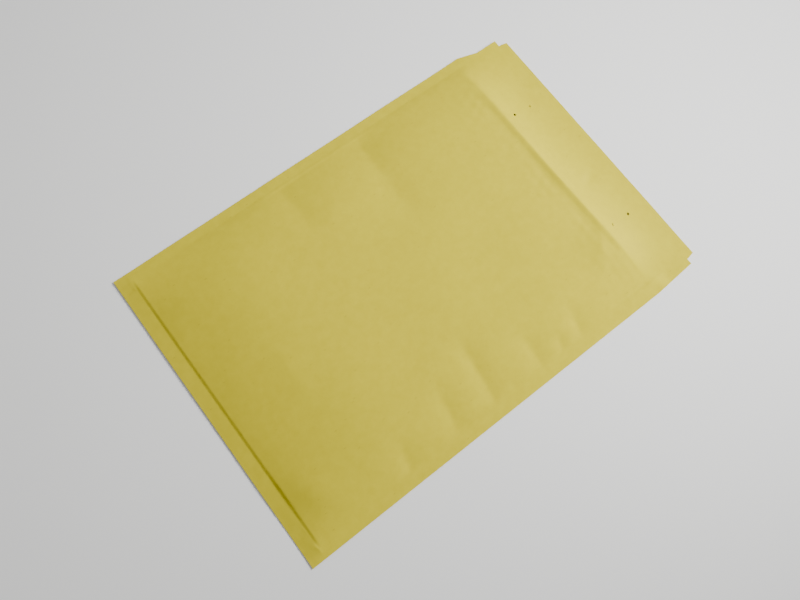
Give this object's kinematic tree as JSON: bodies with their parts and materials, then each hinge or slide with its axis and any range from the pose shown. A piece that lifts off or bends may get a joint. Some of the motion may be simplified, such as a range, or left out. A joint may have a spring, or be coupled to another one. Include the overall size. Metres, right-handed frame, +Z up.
{
  "type": "padded envelope",
  "caption": "Kraft paper mailing envelope lined with air-bubble film, empty and lying flat with its self-seal flap open.",
  "frame": {"origin": "bottom centre of the whole envelope with its flap open, on the surface that it lies on", "axes": "+X across the width, +Y from the bottom seam to the free end of the flap, +Z up out of the front sheet"},
  "size_m": [0.29, 0.427, 0.0127],
  "materials": {
    "kraft_paper": "satin",
    "bubble_film": "gloss",
    "glue": "satin",
    "silicone_paper": "satin"
  },
  "bodies": {
    "root": {"front_sheet": "kraft_paper", "back_sheet": "kraft_paper", "front_bubble_film": "bubble_film", "back_bubble_film": "bubble_film", "seam_glue": "glue", "flap_adhesive": "glue", "release_liner": "silicone_paper"}
  },
  "joints": []
}
